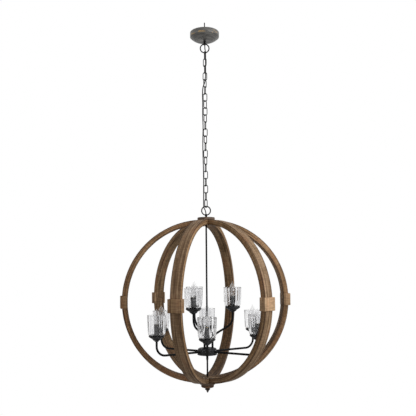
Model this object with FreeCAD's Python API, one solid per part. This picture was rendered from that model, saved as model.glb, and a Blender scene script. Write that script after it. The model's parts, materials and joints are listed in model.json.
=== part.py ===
import FreeCAD, Part
import math
import os

# Orb chandelier on a chain. Millimetres, +Z up. The origin is the middle of the canopy's rim, at the ceiling.
# An azimuth of 0 points to the front (-Y) and grows towards +X.

# flat sides round the turned and bent pieces, and steps in their curves
canopy_sides = 20
hub_sides = 12
cup_sides = 10
lamp_sides = 8
pipe_sides = 12
bar_sides = 8
cord_sides = 6
link_sides = 6
arm_step = 30.0
cord_step = 12.0
curve_steps = 2
rib_steps = 12
smallest_edge = 0.0001

# ceiling end
canopy_radius = 70.0
canopy_band = 20.0
canopy_height = 41.0
canopy_wall = 1.2
canopy_flat_radius = 32.0
canopy_dome_bulge = 3.0
crossbar_end = 4.5
crossbar_width = 22.0
crossbar_thickness = 3.0
box_screw_spacing = 89.0
slot_width = 5.0
slot_length = 14.0

# threaded pipe and its nuts
pipe_radius = 4.0
pipe_bore = 2.8
nut_flats = 13.0
nut_thickness = 5.0
thread_clearance = 0.05
hole_clearance = 0.3
pipe_grip = 8.0

# loops at both ends of the chain
loop_radius = 21.0
loop_wire = 5.5
neck_radius = 5.9
canopy_neck_length = 11.0
orb_neck_length = 9.2
neck_nub = 2.0
loop_steps = 16
link_bend_steps = 4

# chain
link_length = 43.0
link_width = 22.4
link_wire = 4.0
link_gap = 0.9
link_turns = [80, 140, 80, 170, 50, 105, 165, 45, 165] + [50, 105, 165] * 3 + [105, 165, 105, 50]
links_per_stretch = [1, 3, 2, 3, 2, 4, 2, 3, 1, 1]

# supply cord, from the ceiling box down through the canopy and the links into the orb's loop
cord_diameter = 5.0
cord_points = [
    (0.0, 0.0, 50.0),
    (0.0, 0.0, -74.8),
    (3.3, -8.7, -89.8),
    (4.6, -11.5, -112.7),
    (3.3, -10.0, -149.6),
    (4.1, -10.2, -199.5),
    (1.7, -6.9, -231.5),
    (-1.5, -0.9, -245.7),
    (-10.2, -2.3, -265.0),
    (-12.5, -4.1, -297.4),
    (-11.3, -2.4, -343.3),
    (-12.5, -3.5, -401.5),
    (-10.2, -4.2, -460.0),
    (-12.9, -4.3, -527.3),
    (-12.5, -2.7, -589.9),
    (-10.7, -4.8, -660.0),
    (-10.2, -4.2, -725.0),
    (-10.8, -5.2, -785.0),
    (-11.3, -6.9, -822.3),
    (-11.1, -7.9, -847.0),
    (0.0, 0.0, -866.5),
    (0.0, 0.0, -895.0),
]
arc_share = 0.45

# wooden orb
rib_count = 6
first_rib_azimuth = -19.0
rib_radius = 382.0
rib_offset = 16.0
rib_width = 47.0
rib_thickness = 25.0
collar_height = 57.0
collar_proud = 7.5
collar_cheek = 7.5
collar_chamfer = 1.5
collar_clearance = 0.2
plate_radius = 41.3
plate_thickness = 12.0
plate_lip = 4.0
disc_radius = 30.0
disc_thickness = 13.0
disc_round = 5.0
plate_bulge = 2.0

# hub on the rod
hub_below_equator = 254.5
hub_radius = 44.0
hub_rim_radius = 46.5
hub_rim_height = 5.0
hub_height = 31.0
hub_flat_radius = 37.0
hub_shoulder = 9.5
hub_bulge = 2.8
hub_rim_slope = 1.0
hub_wall = 2.0
hub_cover_thickness = 2.0
arm_height_in_hub = 14.5

# arms
arm_radius = 5.0
arm_clearance = 0.1
arm_end_in_hub = 6.0
arm_grip = 8.0
arm_nut_flats = 15.0
arm_nut_thickness = 3.5
lower_reach = 262.0
lower_bend = 43.0
lower_azimuths = [0, 60, 120, 180, 240, 300]
upper_reach = 122.0
upper_root = 25.0
upper_root_bend = 50.0
upper_top_bend = 50.0
upper_slope = 31.0
upper_rise = 52.0
upper_azimuths = [90, 210, 330]

# lamp cups: heights are measured from the underside of the dish's knob
lower_cup_below_equator = 174.5
upper_cup_below_equator = 56.0
knob_radius = 9.5
knob_height = 3.0
dish_cone_radius = 20.0
dish_cone_height = 12.5
dish_radius = 35.5
dish_edge_height = 22.0
dish_height = 27.0
dish_lip = 1.3
dish_floor = 23.5
seat_gap = 0.2
glass_height = 94.3
glass_wall = 2.6
glass_foot_radius = 28.5
glass_bowl_radius = 39.0
glass_bowl_height = 19.0
glass_bowl_bulge = 3.0
glass_rim_radius = 42.5
glass_hole_radius = 10.5
socket_foot_radius = 10.0
socket_flange_radius = 16.0
socket_flange_thickness = 2.0
socket_radius = 9.2
socket_height = 46.0
socket_bore = 6.2
socket_bore_depth = 22.0
sleeve_radius = 11.0
sleeve_wall = 1.3
sleeve_height = 48.0
bulb_base_radius = 6.0
bulb_base_height = 20.0
bulb_neck_radius = 7.6
bulb_radius = 17.2
bulb_swell_height = 24.0
bulb_height = 70.0
bulb_tip_radius = 1.4
bulb_shoulder = 9.0
bulb_tip_root = 3.6
bulb_low_bulge = 3.2
bulb_high_bulge = 2.6

# finial
finial_top_radius = 8.5
finial_radius = 12.0
finial_tip_radius = 4.0
finial_height = 25.0
finial_belly = 11.0
finial_waist = 19.5
finial_shoulder_bulge = 0.8
finial_side_bulge = 1.6

# levels, from the ceiling down
link_pitch = link_length - 2 * link_wire - link_gap
loop_seat = loop_wire / 2 + link_wire / 2 + link_gap
canopy_loop_level = -canopy_height - canopy_neck_length - loop_wire / 2 - loop_radius
first_link_level = canopy_loop_level - loop_radius + loop_seat - (link_length - link_wire) / 2
last_link_level = first_link_level - (len(link_turns) - 1) * link_pitch
orb_loop_level = last_link_level - (link_length - link_wire) / 2 + loop_seat - loop_radius
plate_top = orb_loop_level - loop_radius - loop_wire / 2 - orb_neck_length
orb_top = plate_top - plate_thickness
equator = orb_top - rib_radius
orb_bottom = equator - rib_radius
disc_top = orb_bottom - plate_thickness
disc_bottom = disc_top - disc_thickness
hub_bottom = equator - hub_below_equator
hub_top = hub_bottom + hub_height
arm_level = hub_bottom + arm_height_in_hub
lower_cup_level = equator - lower_cup_below_equator
upper_cup_level = equator - upper_cup_below_equator


def point(x, y, z):
    return FreeCAD.Vector(x, y, z)


up = point(0, 0, 1)
centre = point(0, 0, 0)


def heading(angle):
    return point(math.cos(angle), math.sin(angle), 0)


# A solid with flat faces between each ring of points and the next. Points that meet are taken as one.
def skinned(rings, closed):
    pairs = list(zip(rings, rings[1:]))
    if closed:
        pairs.append((rings[-1], rings[0]))
    faces = []
    for ring, following in pairs:
        for i in range(len(ring)):
            j = (i + 1) % len(ring)
            faces += flat_face([ring[i], ring[j], following[j], following[i]])
    if not closed:
        faces += flat_face(rings[0]) + flat_face(rings[-1])
    shell = Part.Shell(faces)
    shell.sewShape()
    solid = Part.Solid(shell)
    if solid.Volume < 0:
        solid.reverse()
    return solid.removeSplitter()


def flat_face(places):
    corners = []
    for place in places:
        if all(place.distanceToPoint(corner) > smallest_edge for corner in corners):
            corners.append(place)
    if len(corners) < 3:
        return []
    return [Part.Face(Part.makePolygon(corners + corners[:1]))]


# A profile of (radius, height) points carried round the axis in even steps.
def spun(profile, sides):
    rings = []
    for i in range(sides):
        way = heading(2 * math.pi * (i + 0.5) / sides)
        rings.append([way * radius + up * height for radius, height in profile])
    return skinned(rings, True)


# The points of a shallow curve from one profile point to another, bulging to the left of its way.
def curve(start, end, bulge, steps):
    length = math.hypot(end[0] - start[0], end[1] - start[1])
    across = (-(end[1] - start[1]) / length, (end[0] - start[0]) / length)
    points = []
    for step in range(steps + 1):
        share = step / steps
        out = 4 * bulge * share * (1 - share)
        x = start[0] + (end[0] - start[0]) * share + across[0] * out
        z = start[1] + (end[1] - start[1]) * share + across[1] * out
        points.append((x, z))
    return points


def drum(radius, low, high):
    return spun([(0, low), (radius, low), (radius, high), (0, high)], pipe_sides)


def pipe(radius, bore, low, high, sides):
    return spun([(bore, low), (radius, low), (radius, high), (bore, high)], sides)


# The corners of a bar's section at a place on its path. The first corner points along out.
def section(place, out, side, radius, sides):
    corners = []
    for i in range(sides):
        way = heading(2 * math.pi * i / sides)
        corners.append(place + out * (radius * way.x) + side * (radius * way.y))
    return corners


# A bar along straight runs joined by arcs of the given radii, with flat sides that never twist.
def bar(corners, radii, radius, sides, widest_step, out):
    way = (corners[1] - corners[0]).normalize()
    rings = [section(corners[0], out, way.cross(out), radius, sides)]
    for before, corner, after, bend in zip(corners, corners[1:], corners[2:], radii):
        way = (corner - before).normalize()
        way_out = (after - corner).normalize()
        turn = way.getAngle(way_out)
        axis = way.cross(way_out).normalize()
        arc_start = corner - way * (bend * math.tan(turn / 2))
        middle = arc_start + axis.cross(way) * bend
        steps = math.ceil(math.degrees(turn) / widest_step)
        for step in range(steps + 1):
            spin = FreeCAD.Rotation(axis, math.degrees(turn * step / steps))
            place = middle + spin.multVec(arc_start - middle)
            side = spin.multVec(way.cross(out))
            rings.append(section(place, spin.multVec(out), side, radius, sides))
        out = spin.multVec(out)
        way = way_out
    rings.append(section(corners[-1], out, way.cross(out), radius, sides))
    return skinned(rings, False)


# A copy of a shape made along +X, moved out and up, then turned to its azimuth.
def placed(shape, azimuth, reach=0.0, level=0.0):
    copy = shape.copy()
    copy.translate(point(reach, 0, level))
    copy.rotate(centre, up, azimuth - 90)
    return copy


def group(solids):
    return Part.makeCompound(list(solids))


def hex_block(flats, low, high):
    corner = flats / math.sqrt(3)
    rings = []
    for height in (low, high):
        rings.append(section(up * height, point(1, 0, 0), point(0, 1, 0), corner, 6))
    return skinned(rings, False)


def pipe_nut(low):
    high = low + nut_thickness
    return hex_block(nut_flats, low, high).cut(drum(pipe_radius + thread_clearance, low, high))


def straight_bar(low, high, radius):
    ends = [up * low, up * high]
    return bar(ends, [], radius, bar_sides, arm_step, point(1, 0, 0))


def bent_arm(route, radii, out):
    corners = [point(x, 0, z) for x, z in route]
    return bar(corners, radii, arm_radius, bar_sides, arm_step, out)


def make_crossbar():
    length = box_screw_spacing + slot_length + 2 * crossbar_end
    strip_corner = point(-length / 2, -crossbar_width / 2, -crossbar_thickness)
    strip = Part.makeBox(length, crossbar_width, crossbar_thickness, strip_corner)
    strip = strip.cut(drum(pipe_radius + thread_clearance, -crossbar_thickness, 0))
    straight = slot_length - slot_width
    for side in (-1, 1):
        middle = side * box_screw_spacing / 2
        corner = point(middle - straight / 2, -slot_width / 2, -crossbar_thickness)
        slot = Part.makeBox(straight, slot_width, crossbar_thickness, corner)
        for end in (-1, 1):
            end_centre = point(middle + end * straight / 2, 0, -crossbar_thickness)
            round_end = Part.makeCylinder(slot_width / 2, crossbar_thickness, end_centre)
            slot = slot.fuse(round_end)
        strip = strip.cut(slot)
    return strip


def make_nipple():
    return pipe(pipe_radius, pipe_bore, -canopy_height - pipe_grip, 0, pipe_sides)


def make_nipple_nuts():
    under_bar = pipe_nut(-crossbar_thickness - nut_thickness)
    on_canopy = pipe_nut(canopy_wall - canopy_height)
    return group([under_bar, on_canopy])


def make_canopy():
    hole = pipe_radius + hole_clearance
    shoulder = (canopy_radius, -canopy_band)
    foot = (canopy_flat_radius, -canopy_height)
    inner_shoulder = (canopy_radius - canopy_wall, -canopy_band + canopy_wall / 2)
    inner_foot = (canopy_flat_radius, canopy_wall - canopy_height)
    profile = [(canopy_radius, 0)]
    profile += curve(shoulder, foot, canopy_dome_bulge, curve_steps)
    profile += [(hole, -canopy_height), (hole, canopy_wall - canopy_height)]
    profile += curve(inner_foot, inner_shoulder, -canopy_dome_bulge, curve_steps)
    profile += [(canopy_radius - canopy_wall, 0)]
    return spun(profile, canopy_sides)


# Sections round a half or whole turn in the XZ plane, about a middle at the given height.
def turn_rings(height, bend, radius, sides, first, last, steps):
    rings = []
    for step in range(steps + 1):
        angle = math.radians(first + (last - first) * step / steps)
        out = point(math.cos(angle), 0, math.sin(angle))
        rings.append(section(up * height + out * bend, out, point(0, 1, 0), radius, sides))
    return rings


# A ring and its neck, with a bore for the cord and a seat for the pipe. side is +1 where the neck stands up.
def make_loop(level, neck_end, side):
    rings = turn_rings(level, loop_radius, loop_wire / 2, bar_sides, 0, 360, loop_steps)
    ring = skinned(rings[:-1], True)
    nub_end = level + side * (loop_radius - loop_wire / 2 - neck_nub)
    low = min(neck_end, nub_end)
    high = max(neck_end, nub_end)
    neck = drum(neck_radius, low, high)
    seat_end = neck_end - side * pipe_grip
    seat = drum(pipe_radius + thread_clearance, min(neck_end, seat_end), max(neck_end, seat_end))
    return ring.fuse(neck).cut(drum(pipe_bore, low, high)).cut(seat)


# One oval link of wire in the XZ plane.
def make_link():
    bend = (link_width - link_wire) / 2
    half = (link_length - link_wire) / 2 - bend
    rings = turn_rings(half, bend, link_wire / 2, link_sides, 0, 180, link_bend_steps)
    rings += turn_rings(-half, bend, link_wire / 2, link_sides, 180, 360, link_bend_steps)
    return skinned(rings, True)


def make_chain():
    link = make_link()
    stretches = []
    number = 0
    for count in links_per_stretch:
        links = []
        for turn in link_turns[number:number + count]:
            copy = link.copy()
            copy.rotate(centre, up, turn)
            copy.translate(point(0, 0, first_link_level - number * link_pitch))
            links.append(copy)
            number += 1
        stretches.append(group(links))
    return stretches


def cord_radii(corners):
    radii = []
    for before, corner, after in zip(corners, corners[1:], corners[2:]):
        half_turn = (corner - before).getAngle(after - corner) / 2
        shorter = min((corner - before).Length, (after - corner).Length)
        radii.append(arc_share * shorter / math.tan(half_turn))
    return radii


# The cord's tube: its volume is held against its section times the length of its path.
def make_cord():
    corners = [point(*place) for place in cord_points]
    radii = cord_radii(corners)
    cord = bar(corners, radii, cord_diameter / 2, cord_sides, cord_step, point(1, 0, 0))
    length = sum((after - before).Length for before, after in zip(corners, corners[1:]))
    for before, corner, after, radius in zip(corners, corners[1:], corners[2:], radii):
        turn = (corner - before).getAngle(after - corner)
        length += radius * (turn - 2 * math.tan(turn / 2))
    flat_share = math.sin(2 * math.pi / cord_sides) * cord_sides / 2
    area = flat_share * cord_diameter ** 2 / 4
    print("cord length", round(length, 1), "volume share", round(cord.Volume / (area * length), 4))
    print("cord radii", [round(radius) for radius in radii])
    return cord


# The outline of a quarter of the orb from the equator to a pole, in flat steps. It runs in to the axis there.
def quarter_face():
    inner = rib_radius - rib_thickness
    outer_way = []
    inner_way = []
    for step in range(rib_steps + 1):
        angle = math.pi / 2 * step / rib_steps
        out = point(math.cos(angle), 0, math.sin(angle))
        outer_way.append(point(rib_offset, 0, 0) + out * rib_radius)
        inner_way.append(point(rib_offset, 0, 0) + out * inner)
    corners = outer_way + [up * rib_radius, up * inner] + inner_way[::-1]
    return Part.Face(Part.makePolygon(corners + corners[:1]))


# A quarter rib, mitred at the pole to an even share of the circle, with the rod's hole.
def make_quarter_rib():
    strip = quarter_face().extrude(point(0, rib_width, 0))
    strip.translate(point(0, -rib_width / 2, 0))
    reach = 2 * (rib_offset + rib_radius)
    half_share = math.radians(180 / rib_count)
    wedge_corners = [
        centre,
        point(reach, -reach * math.tan(half_share), 0),
        point(reach, reach * math.tan(half_share), 0),
        centre,
    ]
    wedge = Part.Face(Part.makePolygon(wedge_corners)).extrude(point(0, 0, rib_radius))
    return strip.common(wedge).cut(Part.makeCylinder(pipe_radius + hole_clearance, rib_radius))


def make_upper_rib():
    rib = make_quarter_rib()
    rib.translate(point(0, 0, equator))
    return rib


def make_lower_rib():
    rib = make_quarter_rib()
    rib = rib.mirror(centre, up)
    rib.translate(point(0, 0, equator))
    return rib


# A saddle over the joint of two quarter ribs: a web outside and a cheek on each side, open to the inside.
def make_collar():
    low_reach = rib_offset + rib_radius - rib_thickness
    high_reach = rib_offset + rib_radius + collar_proud
    half_width = rib_width / 2 + collar_clearance + collar_cheek
    corner = point(low_reach, -half_width, -collar_height / 2)
    block = Part.makeBox(high_reach - low_reach, 2 * half_width, collar_height, corner)
    outer_edges = []
    for edge in block.Edges:
        middle = edge.CenterOfMass
        if abs(middle.x - high_reach) < 0.01:
            outer_edges.append(edge)
    block = block.makeChamfer(collar_chamfer, outer_edges)
    pocket_width = rib_width + 2 * collar_clearance
    axis_end = point(rib_offset, -pocket_width / 2, 0)
    pocket = Part.makeCylinder(rib_radius + collar_clearance, pocket_width, axis_end, point(0, 1, 0))
    collar = block.cut(pocket)
    collar.translate(point(0, 0, equator))
    return collar


def make_top_plate():
    return pipe(plate_radius, pipe_radius + hole_clearance, orb_top, plate_top, canopy_sides)


def make_bottom_plate():
    hole = pipe_radius + hole_clearance
    lip = (plate_radius, orb_bottom - plate_lip)
    foot = (disc_radius, disc_top)
    profile = [(hole, orb_bottom), (plate_radius, orb_bottom)]
    profile += curve(lip, foot, plate_bulge, curve_steps)
    profile += [(hole, disc_top)]
    return spun(profile, canopy_sides)


def make_bottom_disc():
    hole = pipe_radius + hole_clearance
    inner = disc_radius - disc_round
    edge_bulge = disc_round * (1 - math.sqrt(0.5))
    profile = [(hole, disc_bottom), (hole, disc_top)]
    profile += curve((inner, disc_top), (disc_radius, disc_top - disc_round), edge_bulge, curve_steps)
    profile += curve((disc_radius, disc_bottom + disc_round), (inner, disc_bottom), edge_bulge, curve_steps)
    return spun(profile, canopy_sides)


def make_finial():
    waist = (finial_tip_radius, disc_bottom - finial_waist)
    belly = (finial_radius, disc_bottom - finial_belly)
    tip = disc_bottom - finial_height
    tip_bulge = finial_tip_radius * (1 - math.sqrt(0.5))
    profile = [(0, disc_bottom)]
    profile += curve((finial_top_radius, disc_bottom), belly, finial_shoulder_bulge, curve_steps)
    profile += curve(belly, waist, -finial_side_bulge, curve_steps)[1:]
    profile += curve((finial_tip_radius, tip + finial_tip_radius), (0, tip), tip_bulge, curve_steps)
    finial = spun(profile, pipe_sides)
    return finial.cut(drum(pipe_radius + thread_clearance, disc_bottom - pipe_grip, disc_bottom))


def make_rod():
    low = disc_bottom - pipe_grip + seat_gap
    return pipe(pipe_radius, pipe_bore, low, plate_top + pipe_grip - seat_gap, pipe_sides)


def make_hub():
    hole = pipe_radius + hole_clearance
    rim_top = hub_bottom + hub_rim_height
    shoulder = hub_top - hub_shoulder
    roof = hub_top - hub_wall
    inner = hub_radius - hub_wall
    inner_rim = hub_rim_radius - hub_wall
    inner_flat = hub_flat_radius - hub_wall / 2
    profile = [(hub_rim_radius, hub_bottom), (hub_rim_radius, rim_top)]
    profile += [(hub_radius, rim_top + hub_rim_slope)]
    profile += curve((hub_radius, shoulder), (hub_flat_radius, hub_top), -hub_bulge, curve_steps)
    profile += [(hole, hub_top), (hole, roof)]
    profile += curve((inner_flat, roof), (inner, shoulder), hub_bulge, curve_steps)
    profile += [(inner, rim_top - hub_rim_slope), (inner_rim, rim_top - 2 * hub_rim_slope)]
    profile += [(inner_rim, hub_bottom)]
    hub = spun(profile, hub_sides)
    hole_ends = [point(hub_flat_radius, 0, arm_level), point(2 * hub_radius, 0, arm_level)]
    side_hole = bar(hole_ends, [], arm_radius + arm_clearance, bar_sides, arm_step, up)
    for azimuth in lower_azimuths:
        hub = hub.cut(placed(side_hole, azimuth))
    roof_hole = straight_bar(roof - hub_wall, hub_top + hub_wall, arm_radius + arm_clearance)
    for azimuth in upper_azimuths:
        hub = hub.cut(placed(roof_hole, azimuth, upper_root))
    return hub


def make_hub_cover():
    radius = hub_rim_radius - hub_wall - seat_gap
    hole = pipe_radius + thread_clearance
    return pipe(radius, hole, hub_bottom, hub_bottom + hub_cover_thickness, hub_sides)


def make_hub_nuts():
    return group([pipe_nut(hub_top), pipe_nut(hub_bottom - nut_thickness)])


def make_arm_nuts():
    corner = arm_nut_flats / math.sqrt(3)
    inner_wall = (hub_radius - hub_wall) * math.cos(math.pi / hub_sides)
    wall_flat = math.sqrt(inner_wall ** 2 - corner ** 2) - seat_gap
    nut = hex_block(arm_nut_flats, 0, arm_nut_thickness)
    nut = nut.cut(straight_bar(0, arm_nut_thickness, arm_radius + thread_clearance))
    lying = nut.copy()
    lying.rotate(centre, point(0, 1, 0), 90)
    nuts = []
    for azimuth in lower_azimuths:
        nuts.append(placed(lying, azimuth, wall_flat - arm_nut_thickness, arm_level))
    for azimuth in upper_azimuths:
        nuts.append(placed(nut, azimuth, upper_root, hub_top - hub_wall - arm_nut_thickness))
    return group(nuts)


def make_lower_arms():
    start = hub_radius - hub_wall - arm_end_in_hub
    end = lower_cup_level + arm_grip - seat_gap
    route = [(start, arm_level), (lower_reach, arm_level), (lower_reach, end)]
    arm = bent_arm(route, [lower_bend], up)
    return group(placed(arm, azimuth) for azimuth in lower_azimuths)


# An upper arm rises from the hub's roof, leans out along a straight slope and turns up again under its cup.
def make_upper_arms():
    start = hub_top - hub_wall - arm_end_in_hub
    end = upper_cup_level + arm_grip - seat_gap
    high_corner = upper_cup_level - upper_rise
    low_corner = high_corner - (upper_reach - upper_root) * math.tan(math.radians(upper_slope))
    route = [(upper_root, start), (upper_root, low_corner), (upper_reach, high_corner), (upper_reach, end)]
    arm = bent_arm(route, [upper_root_bend, upper_top_bend], point(1, 0, 0))
    return group(placed(arm, azimuth) for azimuth in upper_azimuths)


def make_dish():
    profile = [
        (0, 0),
        (knob_radius, 0),
        (knob_radius, knob_height),
        (dish_cone_radius, dish_cone_height),
        (dish_radius, dish_edge_height),
        (dish_radius, dish_height),
        (dish_radius - dish_lip, dish_height),
        (dish_radius - dish_lip, dish_floor),
        (0, dish_floor),
    ]
    return spun(profile, cup_sides).cut(straight_bar(0, arm_grip, arm_radius + arm_clearance))


def make_glass():
    foot = dish_floor + seat_gap
    rim = foot + glass_height
    inner_foot = foot + glass_wall
    shoulder = (glass_bowl_radius, foot + glass_bowl_height)
    inner_shoulder = (glass_bowl_radius - glass_wall, foot + glass_bowl_height)
    inner_corner = (glass_foot_radius - glass_wall / 2, inner_foot)
    profile = [(glass_hole_radius, foot)]
    profile += curve((glass_foot_radius, foot), shoulder, -glass_bowl_bulge, curve_steps)
    profile += [(glass_rim_radius, rim), (glass_rim_radius - glass_wall, rim)]
    profile += curve(inner_shoulder, inner_corner, glass_bowl_bulge, curve_steps)
    profile += [(glass_hole_radius, inner_foot)]
    return spun(profile, cup_sides)


# The lampholder: a foot through the glass, a flange that clamps it, and a tube for the bulb's screw base.
def make_socket():
    flange_low = dish_floor + seat_gap + glass_wall + seat_gap
    flange_high = flange_low + socket_flange_thickness
    top = flange_high + socket_height
    profile = [
        (0, dish_floor),
        (socket_foot_radius, dish_floor),
        (socket_foot_radius, flange_low),
        (socket_flange_radius, flange_low),
        (socket_flange_radius, flange_high),
        (socket_radius, flange_high),
        (socket_radius, top),
        (socket_bore, top),
        (socket_bore, top - socket_bore_depth),
        (0, top - socket_bore_depth),
    ]
    return spun(profile, lamp_sides)


def sleeve_foot():
    return dish_floor + seat_gap + glass_wall + seat_gap + socket_flange_thickness


def make_sleeve():
    low = sleeve_foot()
    return pipe(sleeve_radius, sleeve_radius - sleeve_wall, low, low + sleeve_height, lamp_sides)


def make_bulb():
    neck = sleeve_foot() + sleeve_height
    tip = neck + bulb_height
    foot = (bulb_neck_radius, neck + seat_gap)
    belly = (bulb_radius, neck + bulb_swell_height)
    tip_foot = (bulb_tip_root, tip - bulb_shoulder)
    base = neck - bulb_base_height
    profile = [(0, base), (bulb_base_radius, base), (bulb_base_radius, neck)]
    profile += curve(foot, belly, -bulb_low_bulge, curve_steps)
    profile += curve(belly, tip_foot, -bulb_high_bulge, curve_steps)[1:]
    profile += [(bulb_tip_radius, tip), (0, tip)]
    return spun(profile, lamp_sides)


def all_cups(shape):
    solids = [placed(shape, azimuth, upper_reach, upper_cup_level) for azimuth in upper_azimuths]
    solids += [placed(shape, azimuth, lower_reach, lower_cup_level) for azimuth in lower_azimuths]
    return solids


def build():
    parts = {
        "ceiling_crossbar": make_crossbar(),
        "threaded_nipple": make_nipple(),
        "nipple_locknuts": make_nipple_nuts(),
        "canopy": make_canopy(),
        "canopy_loop": make_loop(canopy_loop_level, -canopy_height, 1),
        "supply_cord": make_cord(),
        "orb_loop": make_loop(orb_loop_level, plate_top, -1),
        "top_plate": make_top_plate(),
        "bottom_plate": make_bottom_plate(),
        "bottom_disc": make_bottom_disc(),
        "finial": make_finial(),
        "centre_rod": make_rod(),
        "hub_body": make_hub(),
        "hub_cover": make_hub_cover(),
        "hub_nuts": make_hub_nuts(),
        "arm_locknuts": make_arm_nuts(),
        "lower_arms": make_lower_arms(),
        "upper_arms": make_upper_arms(),
        "cup_dishes": group(all_cups(make_dish())),
        "glass_shades": group(all_cups(make_glass())),
        "lamp_sockets": group(all_cups(make_socket())),
        "candle_sleeves": group(all_cups(make_sleeve())),
    }
    for number, stretch in enumerate(make_chain(), 1):
        parts["chain_stretch_%02d" % number] = stretch
    upper_rib = make_upper_rib()
    lower_rib = make_lower_rib()
    collar = make_collar()
    for number in range(1, rib_count + 1):
        azimuth = first_rib_azimuth + (number - 1) * 360 / rib_count
        parts["upper_rib_%d" % number] = placed(upper_rib, azimuth)
        parts["lower_rib_%d" % number] = placed(lower_rib, azimuth)
        parts["rib_collar_%d" % number] = placed(collar, azimuth)
    for number, bulb in enumerate(all_cups(make_bulb()), 1):
        parts["candle_bulb_%d" % number] = bulb
    return parts


os.makedirs("parts", exist_ok=True)
for name, shape in build().items():
    shape.exportStep("parts/" + name + ".step")
    print(name, len(shape.Solids), round(shape.Volume), shape.isValid())
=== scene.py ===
import bpy
import json
import math
from mathutils import Matrix, Vector

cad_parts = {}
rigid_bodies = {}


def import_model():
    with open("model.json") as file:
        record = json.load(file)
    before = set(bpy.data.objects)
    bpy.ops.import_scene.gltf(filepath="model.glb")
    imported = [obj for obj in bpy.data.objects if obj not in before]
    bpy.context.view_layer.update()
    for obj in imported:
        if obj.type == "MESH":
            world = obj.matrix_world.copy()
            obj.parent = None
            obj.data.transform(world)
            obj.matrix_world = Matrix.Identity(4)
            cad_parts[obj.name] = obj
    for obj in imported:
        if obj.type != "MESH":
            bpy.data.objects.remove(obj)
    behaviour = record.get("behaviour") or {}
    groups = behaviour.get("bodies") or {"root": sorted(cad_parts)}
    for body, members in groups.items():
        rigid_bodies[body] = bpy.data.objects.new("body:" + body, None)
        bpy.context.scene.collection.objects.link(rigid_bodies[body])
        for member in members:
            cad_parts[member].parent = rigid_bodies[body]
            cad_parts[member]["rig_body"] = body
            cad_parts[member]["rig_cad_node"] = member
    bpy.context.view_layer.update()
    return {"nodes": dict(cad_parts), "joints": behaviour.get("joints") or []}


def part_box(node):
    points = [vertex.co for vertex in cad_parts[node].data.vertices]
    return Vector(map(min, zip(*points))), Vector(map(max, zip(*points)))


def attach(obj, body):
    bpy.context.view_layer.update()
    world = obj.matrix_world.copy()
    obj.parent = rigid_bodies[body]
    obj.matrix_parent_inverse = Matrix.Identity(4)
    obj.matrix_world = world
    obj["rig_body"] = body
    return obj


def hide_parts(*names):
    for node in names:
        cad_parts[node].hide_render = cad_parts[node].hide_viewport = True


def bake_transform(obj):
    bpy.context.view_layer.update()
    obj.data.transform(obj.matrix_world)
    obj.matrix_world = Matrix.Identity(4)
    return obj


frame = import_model()
mm = 0.001
weld = 0.002 * mm  # points closer than this become one
pole = 0.0005  # radius in millimetres of the tiny ring that closes a turned piece on its axis


# Selecting and finishing pieces

def deselectAll():
    if bpy.context.mode != "OBJECT":
        bpy.ops.object.mode_set(mode="OBJECT")
    bpy.ops.object.select_all(action="DESELECT")


def pick(*pieces):
    deselectAll()
    for piece in pieces:
        piece.select_set(True)
    bpy.context.view_layer.objects.active = pieces[0]


def named(name):
    piece = bpy.context.active_object
    piece.name = name
    piece.data.name = name
    return piece


def applyPlace(piece):
    pick(piece)
    bpy.ops.object.transform_apply(location=True, rotation=True, scale=True)


def editAll(piece):
    pick(piece)
    bpy.ops.object.mode_set(mode="EDIT")
    bpy.ops.mesh.select_all(action="SELECT")


def closeSkin(piece, turnFaces=True):
    editAll(piece)
    bpy.ops.mesh.remove_doubles(threshold=weld)
    if turnFaces:
        bpy.ops.mesh.normals_make_consistent(inside=False)
    bpy.ops.object.mode_set(mode="OBJECT")


def selectPoints(piece, wanted):
    pick(piece)
    mesh = piece.data
    for polygon in mesh.polygons:
        polygon.select = False
    for edge in mesh.edges:
        edge.select = False
    for point in mesh.vertices:
        point.select = wanted(point.co)
    bpy.ops.object.mode_set(mode="EDIT")
    bpy.ops.mesh.select_mode(type="VERT")


# The usual limits here and in smoothShade stay clear of the 30 degrees at which the ribs' mitres stand.
def softEdges(piece, width, segments=2, angle=35):
    pick(piece)
    bevel = piece.modifiers.new("softEdges", "BEVEL")
    bevel.width = width * mm
    bevel.segments = segments
    bevel.limit_method = "ANGLE"
    bevel.angle_limit = math.radians(angle)
    bpy.ops.object.modifier_apply(modifier=bevel.name)
    closeSkin(piece, turnFaces=False)


def smoothShade(piece, angle=40):
    pick(piece)
    bpy.ops.object.shade_smooth_by_angle(angle=math.radians(angle))


def joined(name, pieces):
    pick(*pieces)
    if len(pieces) > 1:
        bpy.ops.object.join()
    return named(name)


# A copy of a piece that was made along +X: moved out and up, then turned to its azimuth.
def copied(piece, name, azimuth=90, reach=0, level=0):
    pick(piece)
    bpy.ops.object.duplicate()
    copy = named(name)
    turn = math.radians(azimuth - 90)
    copy.rotation_euler = (0, 0, turn)
    copy.location = (reach * mm * math.cos(turn), reach * mm * math.sin(turn), level * mm)
    applyPlace(copy)
    return copy


def discard(piece):
    mesh = piece.data
    bpy.data.objects.remove(piece)
    bpy.data.meshes.remove(mesh)


def wear(piece, body, material, node):
    piece.data.materials.clear()
    piece.data.materials.append(materials[material])
    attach(piece, body)
    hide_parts(node)


# Turned, bent and ring forms, all sizes in millimetres

def arcPoints(middle, radius, first, last, steps):
    points = []
    for step in range(steps + 1):
        angle = math.radians(first + (last - first) * step / steps)
        points.append((middle[0] + radius * math.cos(angle), middle[1] + radius * math.sin(angle)))
    return points


# An outline moved to its level, and turned upside down where side is -1.
def lifted(outline, level, side=1):
    return [(radius, level + side * rise) for radius, rise in outline]


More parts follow.
